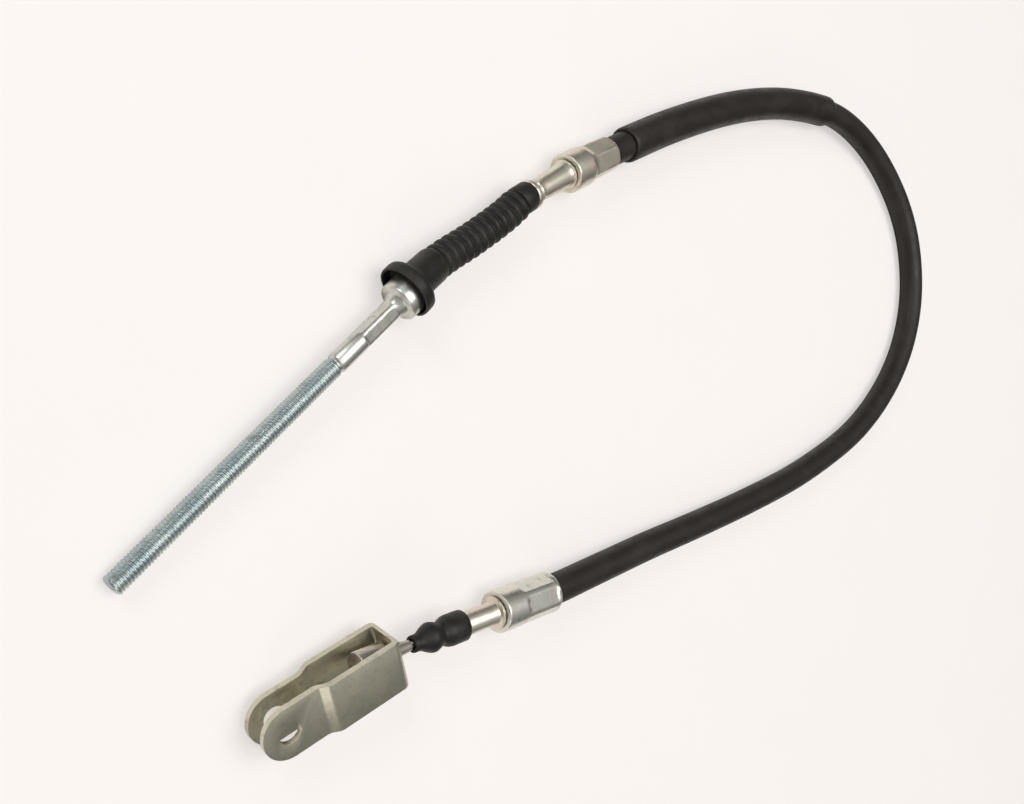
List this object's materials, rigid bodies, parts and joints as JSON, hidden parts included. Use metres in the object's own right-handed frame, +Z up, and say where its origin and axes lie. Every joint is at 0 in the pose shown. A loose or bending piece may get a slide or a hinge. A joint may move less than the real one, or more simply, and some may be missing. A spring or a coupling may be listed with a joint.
{
  "type": "brake cable",
  "caption": "Brake cable lying in a wide bend: threaded rod with rubber bellows at the drum end, crimped ferrules, sleeved black conduit and a folded swivel fork at the pedal end.",
  "frame": {"origin": "centre of the part's footprint on the ground it lies on", "axes": "+X from the two ends towards the bend of the conduit, +Y towards the threaded rod's side, +Z up from the ground"},
  "size_m": [0.3826, 0.214, 0.019],
  "materials": {
    "jacket": "satin black-brown extruded conduit jacket",
    "sleeve": "satin black heat-shrunk sleeve",
    "rubber": "soft grey-black moulded rubber",
    "zinc_yellow": "bright zinc plating with a yellow and pink tint",
    "zinc_blue": "bluish zinc plating",
    "zinc_bright": "bright zinc plating",
    "fork_steel": "satin warm grey plated strap",
    "wire_steel": "drawn steel wire, lightly greased",
    "liner": "natural nylon tube"
  },
  "bodies": {
    "casing": {"conduit_jacket": "jacket", "armour_winding": "wire_steel", "conduit_liner": "liner", "wire_rope": "wire_steel", "protective_sleeve": "sleeve", "drum_ferrule": "zinc_yellow", "drum_guide_tube": "zinc_yellow", "pedal_ferrule": "zinc_bright", "pedal_guide_tube": "zinc_yellow", "dust_boot": "rubber"},
    "rod_end": {"threaded_rod": "zinc_blue", "bellows_boot": "rubber", "rod_wire": "wire_steel"},
    "wire_end": {"wire_head": "zinc_bright", "pedal_wire": "wire_steel"},
    "fork_end": {"fork": "fork_steel"}
  },
  "joints": [
    {"name": "pedal_pull", "type": "slide", "parent": "casing", "child": "wire_end", "axis": [-0.9921, -0.1131, 0.0544], "range_m": [0, 0.015]},
    {"name": "rod_draw", "type": "slide", "parent": "casing", "child": "rod_end", "axis": [0.8247, 0.5655, 0.005], "range_m": [0, 0.015], "deforming": ["bellows_boot", "rod_wire"]},
    {"name": "fork_swivel", "type": "hinge", "parent": "wire_end", "child": "fork_end", "pos_m": [-0.11769, -0.0857, 0.01062], "axis": [-0.9921, -0.1131, 0.0544], "continuous": true}
  ],
  "couplings": [
    {"joint": "rod_draw", "follows": "pedal_pull", "ratio": 1}
  ]
}
